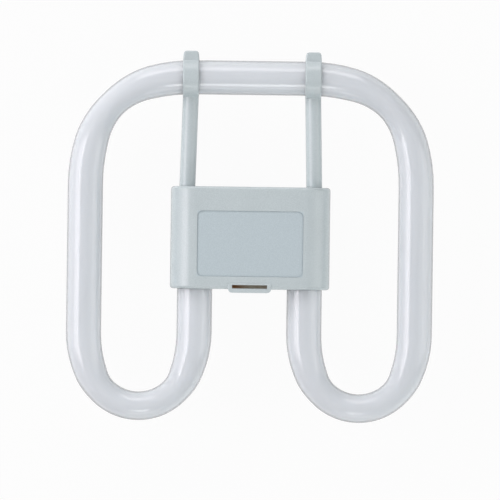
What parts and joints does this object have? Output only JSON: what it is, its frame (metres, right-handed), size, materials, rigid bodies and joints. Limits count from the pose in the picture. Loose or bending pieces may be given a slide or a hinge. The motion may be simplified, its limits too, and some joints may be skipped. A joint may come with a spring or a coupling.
{
  "type": "square compact fluorescent lamp",
  "caption": "Flat square compact fluorescent lamp: a folded opal tube held in a central plug-in housing, with round arms up to clips on the tube's top run.",
  "frame": {"origin": "under the middle of the lamp's outline, in the plane of the housing's flat back, on which the lamp lies", "axes": "+X across the lamp to the right, +Y from the return bends towards the tube clips, +Z out of the lamp's front"},
  "size_m": [0.1382, 0.1396, 0.0278],
  "materials": {
    "opal_glass": "glossy clear glass over a white inner coating, which makes it opaque",
    "housing_plastic": "pale cool grey moulding with a soft satin surface",
    "insert_plastic": "brown moulded thermoset, dull",
    "pin_brass": "turned and bright",
    "lead_metal": "drawn nickel-plated wire",
    "sleeve_white": "off-white heat-proof sleeving",
    "seal_compound": "pale grey sealing compound"
  },
  "bodies": {
    "root": {"discharge_tube": "opal_glass", "front_cover": "housing_plastic", "rear_shell": "housing_plastic", "pin_carrier": "insert_plastic", "contact_pin_1": "pin_brass", "contact_pin_2": "pin_brass", "contact_pin_3": "pin_brass", "contact_pin_4": "pin_brass", "lead_wire_1": "lead_metal", "lead_wire_2": "lead_metal", "lead_wire_3": "lead_metal", "lead_wire_4": "lead_metal", "wire_sleeve_1": "sleeve_white", "wire_sleeve_2": "sleeve_white", "wire_sleeve_3": "sleeve_white", "wire_sleeve_4": "sleeve_white", "seal_ring_left": "seal_compound", "seal_ring_right": "seal_compound"}
  },
  "joints": []
}
